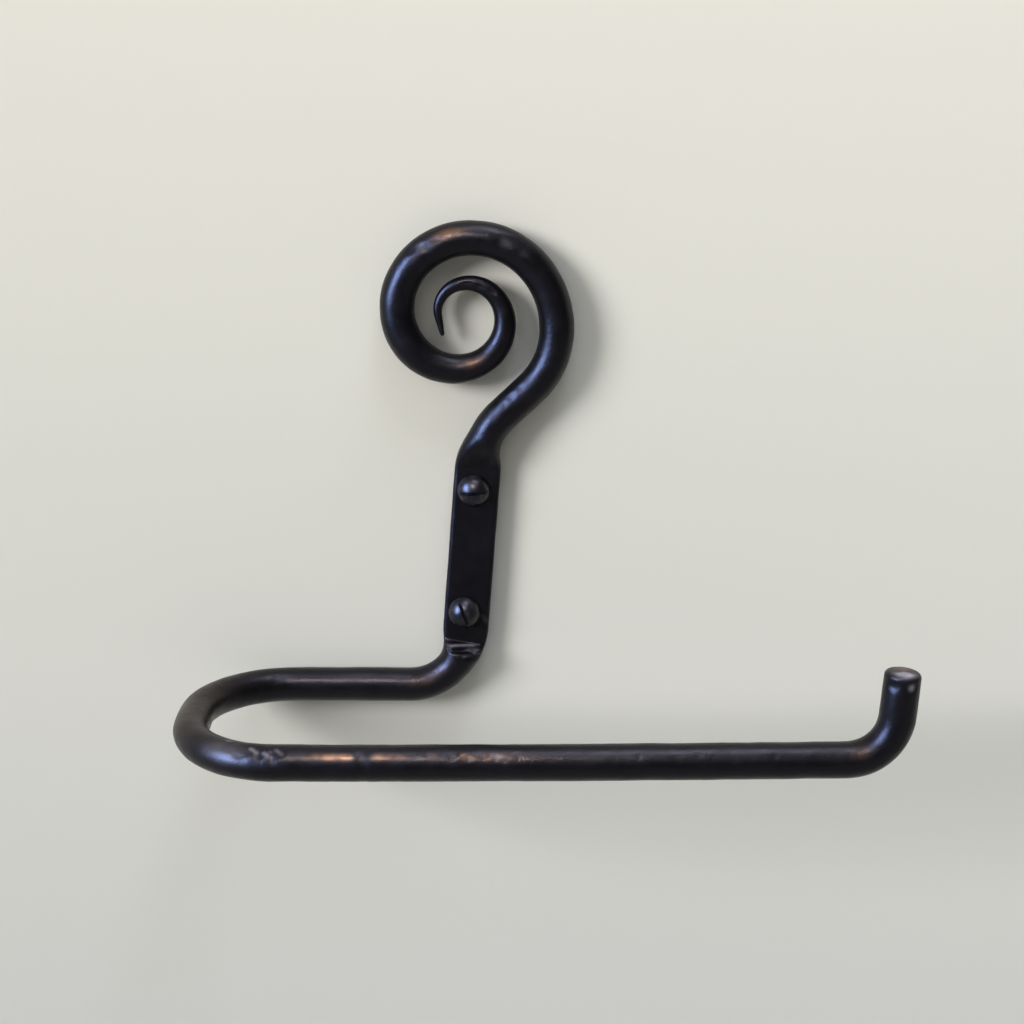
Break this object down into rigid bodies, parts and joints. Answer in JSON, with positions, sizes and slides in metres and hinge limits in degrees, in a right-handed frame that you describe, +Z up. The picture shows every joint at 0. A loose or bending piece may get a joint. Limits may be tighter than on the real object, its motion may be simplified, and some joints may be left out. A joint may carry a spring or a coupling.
{
  "type": "forged wall hook",
  "caption": "Hand-forged black iron wall hook: scrolled top, flat screwed to the wall, U-bend and a long level arm with an upturned end that holds a roll or towel.",
  "frame": {"origin": "on the wall plane, midway between the two screws", "axes": "+X to the right along the arm, +Z up, +Y into the wall"},
  "size_m": [0.2045, 0.1064, 0.1438],
  "materials": {
    "forged_iron": "hand-hammered, waxed black, satin with brown and blue patches",
    "screw_steel": "blackened, worn satin"
  },
  "bodies": {
    "root": {"hook_bar": "forged_iron", "mounting_screws": "screw_steel"}
  },
  "joints": []
}
